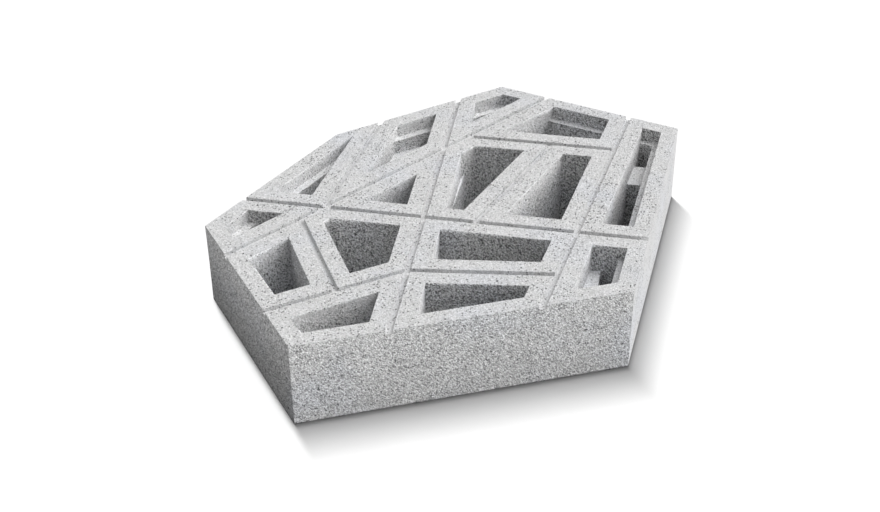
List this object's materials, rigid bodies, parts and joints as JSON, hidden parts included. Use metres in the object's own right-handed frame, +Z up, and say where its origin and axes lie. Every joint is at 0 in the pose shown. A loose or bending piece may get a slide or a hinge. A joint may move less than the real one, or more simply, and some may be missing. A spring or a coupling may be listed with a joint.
{
  "type": "permeable paver",
  "caption": "Six-sided cast concrete paving block, open right through in cells of many shapes between straight webs, with shallow grooves along the webs.",
  "frame": {"origin": "centre of the outline's bounding box, on the underside", "axes": "+Z up through the thickness to the grooved top face, +X along the long diagonal between the two far corners, +Y towards the corner between the two roof sides"},
  "size_m": [0.627, 0.4734, 0.1],
  "materials": {
    "concrete": "light grey cast concrete, fine pores, matt"
  },
  "bodies": {
    "root": {"paver": "concrete"}
  },
  "joints": []
}
